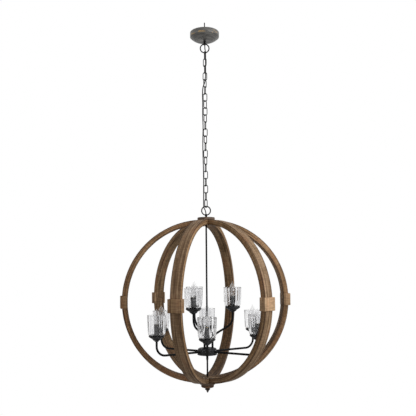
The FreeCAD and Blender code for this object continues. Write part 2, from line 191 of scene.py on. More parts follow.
# Points from start to end, bowed out to the left of the way by the bulge.
def bowed(start, end, bulge, steps):
    length = math.dist(start, end)
    across = (-(end[1] - start[1]) / length, (end[0] - start[0]) / length)
    points = []
    for step in range(steps + 1):
        share = step / steps
        out = 4 * bulge * share * (1 - share)
        x = start[0] + (end[0] - start[0]) * share + across[0] * out
        z = start[1] + (end[1] - start[1]) * share + across[1] * out
        points.append((x, z))
    return points


# A ring is drawn at the first profile point and extruded and scaled along the others.
def turned(name, profile, sides, bevel=0.0):
    deselectAll()
    radius, height = max(profile[0][0], pole), profile[0][1]
    bpy.ops.mesh.primitive_circle_add(vertices=sides, radius=radius * mm, location=(0, 0, height * mm))
    piece = named(name)
    applyPlace(piece)
    editAll(piece)
    for nextRadius, nextHeight in profile[1:]:
        nextRadius = max(nextRadius, pole)
        rise = (nextHeight - height) * mm
        bpy.ops.mesh.extrude_edges_move(TRANSFORM_OT_translate={"value": (0, 0, rise)})
        ratio = nextRadius / radius
        bpy.ops.transform.resize(value=(ratio, ratio, 1), center_override=(0, 0, nextHeight * mm))
        radius, height = nextRadius, nextHeight
    closeSkin(piece)
    if bevel:
        softEdges(piece, bevel)
    smoothShade(piece)
    return piece


# A round bar in the XZ plane, of straight runs and bends. A bend is (radius, degrees), and positive goes up.
def bentBar(name, start, way, moves, radius, sides=20):
    deselectAll()
    angle = math.radians(way)
    bpy.ops.mesh.primitive_circle_add(
        vertices=sides, radius=radius * mm, location=(start[0] * mm, 0, start[1] * mm),
        rotation=(0, math.pi / 2 - angle, 0), fill_type="NGON")
    piece = named(name)
    applyPlace(piece)
    editAll(piece)
    place = Vector((start[0], 0, start[1]))
    for move in moves:
        ahead = Vector((math.cos(angle), 0, math.sin(angle)))
        if not isinstance(move, tuple):
            bpy.ops.mesh.extrude_region_move(TRANSFORM_OT_translate={"value": ahead * move * mm})
            place += ahead * move
            continue
        bend, turn = move
        side = 1 if turn > 0 else -1
        inward = Vector((-math.sin(angle), 0, math.cos(angle))) * side
        middle = place + inward * bend
        steps = max(4, int(abs(turn) / 7))  # a step for every 7 degrees
        bpy.ops.mesh.spin(
            steps=steps, angle=math.radians(abs(turn)), center=middle * mm, axis=(0, side, 0))
        angle += math.radians(turn)
        place = middle - Vector((-math.sin(angle), 0, math.cos(angle))) * side * bend
    closeSkin(piece)
    smoothShade(piece)
    return piece


# A ring of wire that stands in the XZ plane.
def wireRing(name, radius, wire, level, majorSides, minorSides):
    deselectAll()
    bpy.ops.mesh.primitive_torus_add(
        major_radius=radius * mm, minor_radius=wire * mm / 2, major_segments=majorSides,
        minor_segments=minorSides, location=(0, 0, level * mm), rotation=(math.pi / 2, 0, 0))
    piece = named(name)
    applyPlace(piece)
    smoothShade(piece)
    return piece


# Shader maths written as expressions

class Strand:
    def __init__(self, graph, socket):
        self.graph = graph
        self.socket = socket

    def maths(self, operation, first, second):
        return self.graph.add("ShaderNodeMath", {"operation": operation}, {0: first, 1: second})

    def __add__(self, other):
        return self.maths("ADD", self, other)

    def __sub__(self, other):
        return self.maths("SUBTRACT", self, other)

    def __rsub__(self, other):
        return self.maths("SUBTRACT", other, self)

    def __mul__(self, other):
        return self.maths("MULTIPLY", self, other)

    def __truediv__(self, other):
        return self.maths("DIVIDE", self, other)

    def __rtruediv__(self, other):
        return self.maths("DIVIDE", other, self)

    def __abs__(self):
        return self.maths("ABSOLUTE", self, 0.0)

    __radd__ = __add__
    __rmul__ = __mul__

    def smaller(self, other):
        return self.maths("MINIMUM", self, other)

    def larger(self, other):
        return self.maths("MAXIMUM", self, other)

    # Rises softly from 0 at start to most at end, and start may lie above end.
    def within(self, start, end, most=1.0):
        limits = {"From Min": start, "From Max": end, "To Max": most, "Value": self}
        return self.graph.add("ShaderNodeMapRange", {"interpolation_type": "SMOOTHSTEP"}, limits)


class Graph:
    def __init__(self, owner, output="ShaderNodeOutputMaterial"):
        owner.use_nodes = True
        self.owner = owner
        self.tree = owner.node_tree
        self.tree.nodes.clear()
        self.output = self.tree.nodes.new(output)

    def add(self, kind, settings=None, inputs=None, output=0):
        node = self.tree.nodes.new(kind)
        for name, value in (settings or {}).items():
            if name == "stops":
                self.setStops(node.color_ramp, value)
            else:
                setattr(node, name, value)
        for name, value in (inputs or {}).items():
            if isinstance(value, Strand):
                self.tree.links.new(value.socket, node.inputs[name])
            else:
                node.inputs[name].default_value = value
        if output is None:
            return {socket.name: Strand(self, socket) for socket in node.outputs}
        return Strand(self, node.outputs[output])

    def setStops(self, ramp, stops):
        while len(ramp.elements) < len(stops):
            ramp.elements.new(0.5)
        for element, (place, shade) in zip(ramp.elements, stops):
            element.position = place
            element.color = shade

    def objectPlace(self):
        return self.add("ShaderNodeTexCoord", output="Object")

    def attribute(self, name, output):
        return self.add("ShaderNodeAttribute", {"attribute_name": name}, None, output)

    def parts(self, vector):
        return self.add("ShaderNodeSeparateXYZ", None, {"Vector": vector}, None)

    def stretched(self, vector, scale, shift=(0, 0, 0)):
        return self.add("ShaderNodeMapping", None, {"Vector": vector, "Scale": scale, "Location": shift})

    def noise(self, vector, scale, detail, roughness, distortion=0.0, shift=(0, 0, 0)):
        values = {"Vector": self.stretched(vector, scale, shift), "Scale": 1.0, "Detail": detail}
        values.update({"Roughness": roughness, "Distortion": distortion})
        return self.add("ShaderNodeTexNoise", None, values)

    def mix(self, share, first, second, blend="MIX"):
        settings = {"data_type": "RGBA", "blend_type": blend}
        return self.add("ShaderNodeMix", settings, {0: share, 6: first, 7: second}, 2)

    def bump(self, height, distance, strength):
        values = {"Height": height, "Distance": distance * mm, "Strength": strength}
        return self.add("ShaderNodeBump", None, values)

    def facing(self):
        return self.add("ShaderNodeLayerWeight", None, {"Blend": 0.5}, "Facing")

    # 1 where the camera, glass or gloss sees this, 0 where it only lights other things.
    def seen(self):
        path = self.add("ShaderNodeLightPath", output=None)
        return path["Is Camera Ray"].larger(path["Is Transmission Ray"]).larger(path["Is Glossy Ray"])

    def principled(self, values):
        return self.add("ShaderNodeBsdfPrincipled", None, values)

    def show(self, shader):
        self.tree.links.new(shader.socket, self.output.inputs["Surface"])
        return self.owner

    def showMix(self, share, first, second):
        return self.show(self.add("ShaderNodeMixShader", None, {0: share, 1: first, 2: second}))


def newGraph(name):
    return Graph(bpy.data.materials.new(name))


# Screen values from 0 to 255 are turned into linear light.
def colour(red, green, blue):
    shares = [value / 255 for value in (red, green, blue)]
    light = [((share + 0.055) / 1.055) ** 2.4 if share > 0.04 else share / 12.92 for share in shares]
    return (*light, 1)


# Wood. The attribute "grain" holds a place in millimetres: along the grain, across it, and its depth.
# Each noise has its scale on these three ways, its detail, its roughness and at times its distortion.
# Each mark has the noise's value where it starts, the value where it is full, and how much it then covers.

woodLook = {
    "streak": ((0.0035, 0.16, 0.16), 5, 0.6, 0.4), "fine": ((0.012, 0.75, 0.75), 4, 0.6),
    "saw": ((0.17, 0.025, 0.025), 2, 0.5), "patch": ((0.009, 0.03, 0.03), 2, 0.5),
    "pores": ((0.05, 1.6, 1.6), 2, 0.5), "knotScale": (0.0045, 0.012, 0.012),
    "streakShare": 0.75, "fineShare": 0.25, "patchShare": 0.3, "blendShift": 0.145,
    "stops": (0.39, 0.5, 0.61),
    "reddishMark": (0.52, 0.7, 0.55), "oliveMark": (0.48, 0.3, 0.5), "sawMark": (0.42, 0.62, 0.3),
    "poreMark": (0.6, 0.7, 0.45), "knotMark": (0.07, 0.03, 0.8),
    "burnt": colour(64, 42, 27), "reddish": colour(214, 176, 150),
    "olive": colour(222, 218, 186), "toned": colour(186, 178, 168),
    "roughness": 0.6, "roughSwing": 0.2, "gloss": 0.25, "relief": 0.6, "strength": 0.6,
}

# A rib's four long edges are burnt dark and ragged, and its sides fade into the face near the orb's bottom.
# Its inner face, looking into the orb, takes a darker palette that is partly the wood's colour and partly
# painted shade.
ribLook = {
    "side": [colour(104, 78, 52), colour(148, 116, 82), colour(186, 154, 116)],
    "inner": [colour(84, 64, 44), colour(132, 106, 76), colour(168, 140, 106)],
    "halfWidth": 23.5, "thickness": 25.0, "innerMark": (24.0, 24.8), "sideMark": (22.5, 23.3),
    "fade": (-1.5, -1.62, 0.8), "edgeMark": (5.5, 0.3, 0.85), "ragged": 7.0,
}


def woodMaterial(name, face, rib=False):
    graph = newGraph(name)
    grain = graph.attribute("grain", "Vector")
    streak, fine, saw, patch, pores = (
        graph.noise(grain, *woodLook[kind]) for kind in ("streak", "fine", "saw", "patch", "pores"))
    place = graph.stretched(grain, woodLook["knotScale"])
    knots = graph.add("ShaderNodeTexVoronoi", None, {"Vector": place}, "Distance")
    blend = streak * woodLook["streakShare"] + fine * woodLook["fineShare"]
    blend = blend + patch * woodLook["patchShare"] - woodLook["blendShift"]

    def planks(shades):
        stops = list(zip(woodLook["stops"], shades))
        return graph.add("ShaderNodeValToRGB", {"stops": stops}, {"Fac": blend})

    shade = planks(face)
    if rib:
        places = graph.parts(grain)
        across, depth = abs(places["Y"]), places["Z"]
        # Painted shade in part: the inner face, looking into the orb, takes the darker palette.
        shade = graph.mix(depth.within(*ribLook["innerMark"]), shade, planks(ribLook["inner"]))
        fade = graph.parts(graph.objectPlace())["Z"].within(*ribLook["fade"])
        onSide = across.within(*ribLook["sideMark"]) * (1 - fade)
        shade = graph.mix(onSide, shade, planks(ribLook["side"]))
        toCorner = depth.smaller(ribLook["thickness"] - depth).larger(ribLook["halfWidth"] - across)
        ragged = toCorner + (fine - 0.5) * ribLook["ragged"] + (streak - 0.5) * ribLook["ragged"]
        shade = graph.mix(ragged.within(*ribLook["edgeMark"]), shade, woodLook["burnt"])
    shade = graph.mix(patch.within(*woodLook["reddishMark"]), shade, woodLook["reddish"], "MULTIPLY")
    shade = graph.mix(patch.within(*woodLook["oliveMark"]), shade, woodLook["olive"], "MULTIPLY")
    for noise, mark in ((saw, "sawMark"), (pores, "poreMark"), (knots, "knotMark")):
        shade = graph.mix(noise.within(*woodLook[mark]), shade, woodLook["burnt"])
    # Painted shade in part: the tone attribute darkens a piece, partly for the wood's own tone and partly
    # for shade.
    shade = graph.mix(graph.attribute("tone", "Fac"), shade, woodLook["toned"], "MULTIPLY")
    shade = graph.mix(graph.attribute("warmth", "Fac"), shade, woodLook["reddish"], "MULTIPLY")
    height = streak * 0.6 + fine * 0.5 + saw * 0.3 - pores * 0.3
    return graph.show(graph.principled({
        "Base Color": shade,
        "Roughness": woodLook["roughness"] + fine * woodLook["roughSwing"],
        "Specular IOR Level": woodLook["gloss"],
        "Normal": graph.bump(height, woodLook["relief"], woodLook["strength"]),
    }))


woods = {
    "rib": ("weatheredRib", [colour(96, 74, 52), colour(140, 113, 85), colour(176, 150, 120)]),
    "collar": ("weatheredCollar", [colour(136, 106, 78), colour(182, 149, 114), colour(210, 178, 142)]),
    "plate": ("weatheredPlate", [colour(70, 56, 46), colour(108, 90, 76), colour(132, 114, 98)]),
    "disc": ("darkDisc", [colour(66, 48, 36), colour(100, 74, 54), colour(132, 100, 74)]),
    "finial": ("darkFinial", [colour(10, 9, 9), colour(18, 15, 14), colour(34, 29, 26)]),
}


# Metal and plastic: a dark coat with pale clouds of wear and small pale specks; on cast iron the pale specks
# are partly its textured finish and partly painted highlights

coatLook = {
    "metallic": 0.0, "gloss": 0.5, "roughness": 0.5, "cloudScale": 40, "cloudMark": (0.5, 0.72),
    "gritScale": 420, "speckMark": (0.55, 0.75), "roughSwing": 0.18, "relief": 0.12, "strength": 0.35,
}
# what each coat has of its own
coats = {
    "black": {
        "name": "blackIron", "dark": colour(9, 9, 10), "pale": colour(34, 33, 35),
        "roughness": 0.6, "wear": 0.15, "grit": 0.2, "gloss": 0.12,
    },
    # Cast iron: its bright pale specks are partly a textured finish and partly painted highlights.
    "cast": {
        "name": "castIron", "dark": colour(8, 8, 10), "pale": colour(150, 149, 156),
        "metallic": 0.1, "wear": 0.1, "grit": 0.6, "gritScale": 150, "gloss": 0.25,
    },
    "chain": {
        "name": "darkBronze", "dark": colour(7, 6, 6), "pale": colour(52, 47, 42),
        "metallic": 0.2, "wear": 0.25, "grit": 0.25, "gloss": 0.15,
    },
    "sleeve": {
        "name": "candleSleeve", "dark": colour(20, 19, 21), "pale": colour(46, 44, 48),
        "wear": 0.3, "grit": 0.35,
    },
    "zinc": {
        "name": "zincSteel", "dark": colour(150, 150, 146), "pale": colour(190, 190, 184),
        "roughness": 0.38, "metallic": 0.9, "wear": 0.4, "grit": 0.2,
    },
    "socket": {
        "name": "mouldedSocket", "dark": colour(20, 20, 21), "pale": colour(40, 40, 42),
        "roughness": 0.45, "wear": 0.2, "grit": 0.1,
    },
    "brass": {
        "name": "bulbBrass", "dark": colour(150, 128, 84), "pale": colour(196, 172, 118),
        "roughness": 0.3, "metallic": 0.95, "wear": 0.3, "grit": 0.1,
    },
}


def coatMaterial(own):
    coat = {**coatLook, **own}
    graph = newGraph(coat["name"])
    place = graph.objectPlace()
    cloud = graph.noise(place, [coat["cloudScale"]] * 3, 4, 0.6)
    speck = graph.noise(place, [coat["gritScale"]] * 3, 3, 0.6)
    # Pale clouds are wear; pale specks are grit, and on cast iron partly painted highlights.
    wearAndGlint = cloud.within(*coat["cloudMark"], coat["wear"]) + speck.within(*coat["speckMark"], coat["grit"])
    return graph.show(graph.principled({
        "Base Color": graph.mix(wearAndGlint, coat["dark"], coat["pale"]),
        "Metallic": coat["metallic"],
        "Specular IOR Level": coat["gloss"],
        "Roughness": coat["roughness"] + (cloud - 0.5) * coat["roughSwing"],
        "Normal": graph.bump(speck * 0.4 + cloud * 0.6, coat["relief"], coat["strength"]),
    }))


# The brass colour with the patch and streak marks paints a reflection near the band's lower edge.
canopyLook = {
    "dark": colour(72, 71, 71), "pale": colour(114, 112, 108), "brass": colour(196, 160, 100),
    "brushScale": (18, 18, 420), "brushMark": (0.3, 0.7), "patchScale": (26, 26, 60),
    "patchShift": (0.4, 0.2, 0.0), "patchMark": (0.5, 0.6), "streakMark": (0.35, 0.6, 0.85),
    "rubTop": (-5, -11), "rubFoot": (-24, -18), "metallic": 0.5, "roughness": 0.4,
}


# Dark bronze with a painted reflection: golden streaks in places along the lower edge of the band.
def canopyMaterial():
    graph = newGraph("canopyBronze")
    place = graph.objectPlace()
    cloud = graph.noise(place, [coatLook["cloudScale"]] * 3, 4, 0.6)
    brushed = graph.noise(place, canopyLook["brushScale"], 3, 0.6)
    patch = graph.noise(place, canopyLook["patchScale"], 2, 0.5, shift=canopyLook["patchShift"])
    height = graph.parts(place)["Z"] / mm
    edge = height.within(*canopyLook["rubTop"]) * height.within(*canopyLook["rubFoot"])
    # Painted reflection: golden streaks where the band nears its lower edge.
    paintedReflection = edge * patch.within(*canopyLook["patchMark"]) * brushed.within(*canopyLook["streakMark"])
    shade = graph.mix(brushed.within(*canopyLook["brushMark"]), canopyLook["dark"], canopyLook["pale"])
    return graph.show(graph.principled({
        "Base Color": graph.mix(paintedReflection, shade, canopyLook["brass"]),
        "Metallic": canopyLook["metallic"],
        "Roughness": canopyLook["roughness"] + (cloud - 0.5) * coatLook["roughSwing"],
        "Normal": graph.bump(cloud * 0.6 + brushed * 0.4, coatLook["relief"], coatLook["strength"]),
    }))


cordLook = {
    "scale": (160, 160, 60), "dark": colour(12, 12, 12), "pale": colour(40, 39, 38),
    "roughness": 0.55, "roughSwing": 0.15, "gloss": 0.25, "relief": 0.15, "strength": 0.3,
}


def cordMaterial():
    graph = newGraph("cordJacket")
    cloud = graph.noise(graph.objectPlace(), cordLook["scale"], 3, 0.5)
    return graph.show(graph.principled({
        "Base Color": graph.mix(cloud, cordLook["dark"], cordLook["pale"]),
        "Roughness": cordLook["roughness"] + cloud * cordLook["roughSwing"],
        "Specular IOR Level": cordLook["gloss"],
        "Normal": graph.bump(cloud, cordLook["relief"], cordLook["strength"]),
    }))


shadeLook = {
    "waveScale": (130, 130, 5), "broadScale": (60, 60, 14), "streakMark": (0.38, 0.6),
    "tint": (0.72, 0.72, 0.73, 1), "clear": (0.98, 0.98, 0.98, 1), "edge": (0.3, 0.3, 0.31, 1),
    "edgeMark": (0.72, 1.0), "roughness": 0.03, "bend": 1.4, "ripple": 0.5, "strength": 0.6,
}


# Pressed glass, darker where a wall is seen edge on, because the light goes through more of it.
def shadeMaterial():
    graph = newGraph("pressedGlass")
    place = graph.objectPlace()
    wave = graph.noise(place, shadeLook["waveScale"], 2, 0.6)
    broad = graph.noise(place, shadeLook["broadScale"], 2, 0.5)
    tinted = graph.mix(wave.within(*shadeLook["streakMark"]), shadeLook["tint"], shadeLook["clear"])
    return graph.show(graph.principled({
        "Base Color": graph.mix(graph.facing().within(*shadeLook["edgeMark"]), tinted, shadeLook["edge"]),
        "Roughness": shadeLook["roughness"],
        "Transmission Weight": 1.0,
        "IOR": shadeLook["bend"],
        "Normal": graph.bump(wave * 0.4 + broad * 0.6, shadeLook["ripple"], shadeLook["strength"]),
    }))


bulbLook = {
    "clear": (0.96, 0.96, 0.97, 1), "veil": 0.08, "roughness": 0.03, "waveScale": (60, 60, 30),
    "relief": 0.05, "strength": 0.3,
    "edge": (0.95, 0.95, 0.96, 1), "edgeRoughness": 0.15, "edgeMark": (0.55, 0.9, 0.95),
}


# Glass so thin that it bends no light: a faint veil with a bright outline.
def bulbMaterial():
    graph = newGraph("bulbGlass")
    wave = graph.noise(graph.objectPlace(), bulbLook["waveScale"], 2, 0.5)
    clear = graph.principled({
        "Base Color": bulbLook["clear"], "Roughness": bulbLook["roughness"], "Alpha": bulbLook["veil"],
        "Normal": graph.bump(wave, bulbLook["relief"], bulbLook["strength"]),
    })
    edge = graph.principled({
        "Base Color": bulbLook["edge"], "Roughness": bulbLook["edgeRoughness"], "Metallic": 1.0,
    })
    return graph.showMix(graph.facing().within(*bulbLook["edgeMark"]), clear, edge)


materials = {kind: woodMaterial(name, face, rib=kind == "rib") for kind, (name, face) in woods.items()}
materials.update({kind: coatMaterial(coat) for kind, coat in coats.items()})
materials["canopy"] = canopyMaterial()
materials["cord"] = cordMaterial()
materials["shade"] = shadeMaterial()
materials["bulb"] = bulbMaterial()
print("materials made")


# Tone darkens the wood, partly as its own tone and partly as painted shade; warmth reddens it.
def markGrain(piece, place, tone=0.0, warmth=0.0):
    mesh = piece.data
    for name, value in (("tone", tone), ("warmth", warmth)):
        shades = mesh.attributes.new(name, "FLOAT", "POINT")
        shades.data.foreach_set("value", [value] * len(mesh.vertices))
    layer = mesh.attributes.new("grain", "FLOAT_VECTOR", "POINT")
    values = []
    for point in mesh.vertices:
        values.extend(place(point.co))
    layer.data.foreach_set("vector", values)


# Levels, read from the frame so that each piece sits where the CAD says

def lowest(node):
    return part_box(node)[0].z / mm


def highest(node):
    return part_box(node)[1].z / mm


cups = {
    "upperAzimuths": [90, 210, 330], "lowerAzimuths": [0, 60, 120, 180, 240, 300],
    "upperReach": 122, "lowerReach": 262, "armGrip": 7.8,
}
levels = {
    "plateTop": highest("top_plate"),
    "orbTop": lowest("top_plate"),
    "equator": lowest("upper_rib_1"),
    "plateBottom": lowest("bottom_plate"),
    "discBottom": lowest("bottom_disc"),
    "hubBottom": lowest("hub_body"),
    "hubTop": highest("hub_body"),
    "lowerCup": lowest("cup_dishes"),
    "upperCup": highest("upper_arms") - cups["armGrip"],
}


# Camera, lights and stage, in metres

view = {
    "distance": 2.629, "height": -1.133, "lens": 47.85, "pitch": 2.3, "roll": 0.5,
    "shiftX": 0.0028, "shiftY": 0.09, "orbHeight": -1.289,
}


def makeCamera():
    deselectAll()
    tilt = math.radians(90 + view["pitch"])
    bpy.ops.object.camera_add(location=(0, -view["distance"], view["height"]), rotation=(tilt, 0, 0))
    camera = bpy.context.active_object
    camera.name = "photoCamera"
    camera.data.lens = view["lens"]
    camera.data.shift_x = view["shiftX"]
    camera.data.shift_y = view["shiftY"]
    pivot = Vector((0, 0, view["orbHeight"]))
    lean = Matrix.Rotation(math.radians(view["roll"]), 4, "Y")
    camera.matrix_world = Matrix.Translation(pivot) @ lean @ Matrix.Translation(-pivot) @ camera.matrix_world
    bpy.context.scene.camera = camera


lamps = {
    "windowRight": {"place": (1.7, -1.3, -0.5), "size": 2.0, "power": 44},
    "windowLeft": {"place": (-2.2, -2.0, -0.9), "size": 1.8, "power": 8},
    "skyAbove": {"place": (0.3, 0.2, 0.9), "size": 1.6, "power": 4},
}
studio = {
    "light": 0.26, "background": 1.0, "aimHeight": -1.15, "floorLevel": -4.2, "floorSize": 16,
    "floorDark": (0.86, 0.86, 0.86, 1), "floorPale": (0.9, 0.9, 0.9, 1), "floorGlow": 0.7,
}


def makeLamps():
    for name, plan in lamps.items():
        bpy.ops.object.light_add(type="AREA", location=plan["place"])
        lamp = bpy.context.active_object
        lamp.name = name
        lamp.data.energy = plan["power"]
        lamp.data.size = plan["size"]
        aim = Vector((0, 0, studio["aimHeight"])) - Vector(plan["place"])
        lamp.rotation_euler = aim.to_track_quat("-Z", "Y").to_euler()


# The object is lit softly, while the camera, glass and gloss see the background as white.
def makeWorld():
    world = bpy.data.worlds.new("studio")
    bpy.context.scene.world = world
    graph = Graph(world, "ShaderNodeOutputWorld")
    soft, bright = (
        graph.add("ShaderNodeBackground", None, {"Color": (1, 1, 1, 1), "Strength": studio[strength]})
        for strength in ("light", "background"))
    graph.showMix(graph.seen(), soft, bright)


# The floor is seen as nearly white, and still takes the shadow of the light.
def makeFloor():
    deselectAll()
    bpy.ops.mesh.primitive_plane_add(size=studio["floorSize"], location=(0, 0, studio["floorLevel"]))
    floor = named("studioFloor")
    applyPlace(floor)
    graph = newGraph("paleFloor")
    cloud = graph.noise(graph.objectPlace(), (2, 2, 2), 2, 0.5)
    shade = graph.mix(cloud, studio["floorDark"], studio["floorPale"])
    matt = graph.principled({"Base Color": shade, "Roughness": 0.8})
    glow = graph.add("ShaderNodeEmission", None, {"Color": (1, 1, 1, 1), "Strength": 1.0})
    floor.data.materials.append(graph.showMix(graph.seen() * studio["floorGlow"], matt, glow))


makeCamera()
makeLamps()
makeWorld()
makeFloor()
bpy.context.scene.view_settings.view_transform = "Standard"
print("camera, lights and floor made")


# Supply cord, cut half way between the hinges into one part for each hinge

cord = {
    "diameter": 5.0,
    "points": [
        (0.0, 0.0, 50.0), (0.0, 0.0, -74.8), (3.3, -8.7, -89.8), (4.6, -11.5, -112.7),
        (3.3, -10.0, -149.6), (4.1, -10.2, -199.5), (1.7, -6.9, -231.5), (-1.5, -0.9, -245.7),
        (-10.2, -2.3, -265.0), (-12.5, -4.1, -297.4), (-11.3, -2.4, -343.3), (-12.5, -3.5, -401.5),
        (-10.2, -4.2, -460.0), (-12.9, -4.3, -527.3), (-12.5, -2.7, -589.9), (-10.7, -4.8, -660.0),
        (-10.2, -4.2, -725.0), (-10.8, -5.2, -785.0), (-11.3, -6.9, -822.3), (-11.1, -7.9, -847.0),
        (0.0, 0.0, -866.5), (0.0, 0.0, -895.0),
    ],
    "blendReach": 16.0,
}


def cordLine():
    curve = bpy.data.curves.new("supplyCordLine", "CURVE")
    curve.dimensions = "3D"
    spline = curve.splines.new("NURBS")
    spline.points.add(len(cord["points"]) - 1)
    for point, place in zip(spline.points, cord["points"]):
        point.co = (*(value * mm for value in place), 1)
    spline.order_u = 3
    spline.use_endpoint_u = True
    spline.resolution_u = 10
    curve.bevel_depth = cord["diameter"] * mm / 2
    curve.bevel_resolution = 4
    curve.use_fill_caps = True
    line = bpy.data.objects.new("supplyCord", curve)
    bpy.context.scene.collection.objects.link(line)
    pick(line)
    bpy.ops.object.convert(target="MESH")
    return named("supplyCord")


def makeCord():
    whole = cordLine()
    swings = [joint for joint in frame["joints"] if joint["name"].startswith("chain_swing")]
    swings.sort(key=lambda joint: joint["name"])
    heights = [joint["pos_m"][2] for joint in swings]
    cuts = [(above + below) / 2 for above, below in zip(heights, heights[1:])]
    reach = cord["blendReach"] * mm
    for number, (joint, top, bottom) in enumerate(zip(swings, [None] + cuts, cuts + [None]), 1):
        part = copied(whole, "supplyCord%02d" % number)
        for height, up in ((top, 1), (bottom, -1)):
            if height is not None:
                editAll(part)
                bpy.ops.mesh.bisect(
                    plane_co=(0, 0, height), plane_no=(0, 0, up), clear_outer=True, use_fill=True)
        smoothShade(part)
        part.data.materials.append(materials["cord"])
        middle = joint["pos_m"][2]
        start, end = (0, 0, middle + reach), (0, 0, middle - reach)
        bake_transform(part)
        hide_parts("supply_cord")
    discard(whole)


makeCord()
print("supply cord made")


# Chain. Each link has its own turn, and the stretches say how many links move as one.

chain = {
    "length": 43.0,
    "width": 22.4,
    "wire": 4.0,
    "pitch": 34.1,
    "turns": [80, 140, 80, 170, 50, 105, 165, 45, 165] + [50, 105, 165] * 3 + [105, 165, 105, 50],
    "stretches": [1, 3, 2, 3, 2, 4, 2, 3, 1, 1],
    "majorSides": 28,
    "minorSides": 12,
}


def makeChain():
    bend = (chain["width"] - chain["wire"]) / 2
    half = (chain["length"] - chain["wire"]) / 2 - bend
    link = wireRing("link", bend, chain["wire"], 0, chain["majorSides"], chain["minorSides"])
    for side in (-1, 1):
        selectPoints(link, lambda place: place.z * side > 0.01 * mm)
        bpy.ops.transform.translate(value=(0, 0, side * half * mm))
    firstLevel = highest("chain_stretch_01") - chain["length"] / 2
    number = 0
    for stretch, count in enumerate(chain["stretches"], 1):
        links = []
        for turn in chain["turns"][number:number + count]:
            links.append(copied(link, "chainLink", turn + 90, 0, firstLevel - number * chain["pitch"]))
            number += 1
        piece = joined("chainStretch%02d" % stretch, links)
        wear(piece, "chain_%d" % stretch, "chain", "chain_stretch_%02d" % stretch)
    discard(link)


makeChain()
print("chain made")


# Canopy and loops

canopy = {
    "radius": 70, "band": 20, "height": 41, "wall": 1.2, "flat": 32, "bulge": 3.0, "hole": 4.3,
    "sides": 96, "edge": 0.5,
}


def makeCanopy():
    radius, wall, height = canopy["radius"], canopy["wall"], canopy["height"]
    shoulder, foot = (radius, -canopy["band"]), (canopy["flat"], -height)
    innerShoulder, innerFoot = (radius - wall, -canopy["band"] + wall / 2), (canopy["flat"], wall - height)
    profile = [(radius, 0)] + bowed(shoulder, foot, canopy["bulge"], 10)
    profile += [(canopy["hole"], -height), (canopy["hole"], wall - height)]
    profile += bowed(innerFoot, innerShoulder, -canopy["bulge"], 10)
    profile += [(radius - wall, 0), (radius, 0)]
    piece = turned("ceilingCanopy", profile, canopy["sides"], canopy["edge"])
    wear(piece, "ceiling", "canopy", "canopy")


# A neck's nose is counted from inside the ring, its waist from the ring's outside, its collar from its end.
loop = {
    "radius": 21, "wire": 5.5, "noseDepth": 2, "nose": [(2.8, 0), (4.9, 0), (5.9, 1.5)],
    "waist": [(5.9, 0), (5.3, 2)], "collar": [(5.3, -3), (5.9, -2.4), (5.9, 0), (2.8, 0)],
    "ringSides": 56, "wireSides": 16, "neckSides": 32, "edge": 0.4,
}


# side is 1 where the neck stands on top of the ring
def makeLoop(name, node, body, side, neckEnd):
    radius, wire = loop["radius"], loop["wire"]
    reach = radius + wire / 2
    level = lowest(node) + reach if side > 0 else highest(node) - reach
    ring = wireRing(name, radius, wire, level, loop["ringSides"], loop["wireSides"])
    inside = level + side * (radius - wire / 2 - loop["noseDepth"])
    profile = lifted(loop["nose"], inside, side) + lifted(loop["waist"], level + side * reach, side)
    profile += lifted(loop["collar"], neckEnd, side)
    neck = turned(name + "Neck", profile + profile[:1], loop["neckSides"], loop["edge"])
    wear(joined(name, [ring, neck]), body, "black", node)


makeCanopy()
makeLoop("canopyLoop", "canopy_loop", "ceiling", 1, -canopy["height"])
makeLoop("orbLoop", "orb_loop", "orb", -1, levels["plateTop"])
print("canopy and loops made")


# Wooden orb. The tones and warmths say how much darker and redder each piece is than the plain wood. The
# tones are partly the wood's own and partly painted shade, most of all on the lower ribs, which face down.

orb = {
    "ribs": 6, "firstAzimuth": -19, "radius": 382, "offset": 16, "width": 47, "thickness": 25,
    "edge": 1.6, "steps": 44, "rodRoom": 4.3, "collarEdge": 0.7,
    # Painted shade: the lower ribs' tones darken them far more than the upper ribs, and the collars' tones
    # are partly shade as well.
    "upperTones": [0.05, 0.0, 0.0, 0.1, 0.0, 0.08], "lowerTones": [0.5, 0.25, 0.6, 0.95, 0.45, 0.5],
    "upperWarmth": [0.12, 0.0, 0.1, 0.0, 0.0, 0.2], "lowerWarmth": [0.0, 0.0, 0.2, 0.1, 0.0, 0.3],
    "collarTones": [0.7, 0.0, 0.55, 0.1, 0.3, 1.0],
    "ribSeed": 1900, "halfSeed": 700, "collarSeed": 310,
}
ribAzimuths = [orb["firstAzimuth"] + number * 360 / orb["ribs"] for number in range(orb["ribs"])]


# The rib's section is spun over a quarter turn, run on to the rod and cut to its mitre on both sides.
def makeQuarterRib(side):
    deselectAll()
    middle = orb["offset"] + orb["radius"] - orb["thickness"] / 2
    bpy.ops.mesh.primitive_plane_add(size=1, location=(middle * mm, 0, 0))
    rib = named("quarterRib")
    rib.scale = (orb["thickness"] * mm, orb["width"] * mm, 1)
    applyPlace(rib)
    editAll(rib)
    bpy.ops.mesh.subdivide(number_cuts=1)  # a point in the middle of each side
    bpy.ops.mesh.spin(
        steps=orb["steps"], angle=math.pi / 2, center=(orb["offset"] * mm, 0, 0), axis=(0, side, 0))
    reach = (orb["rodRoom"] - orb["offset"]) * mm
    bpy.ops.mesh.extrude_region_move(TRANSFORM_OT_translate={"value": (reach, 0, 0)})
    closeSkin(rib)
    halfShare = math.pi / orb["ribs"]
    for across in (-1, 1):
        editAll(rib)
        normal = (-math.sin(halfShare), across * math.cos(halfShare), 0)
        bpy.ops.mesh.bisect(plane_co=(0, 0, 0), plane_no=normal, clear_outer=True, use_fill=True)
    closeSkin(rib)
    softEdges(rib, orb["edge"], 3)
    smoothShade(rib)
    return rib


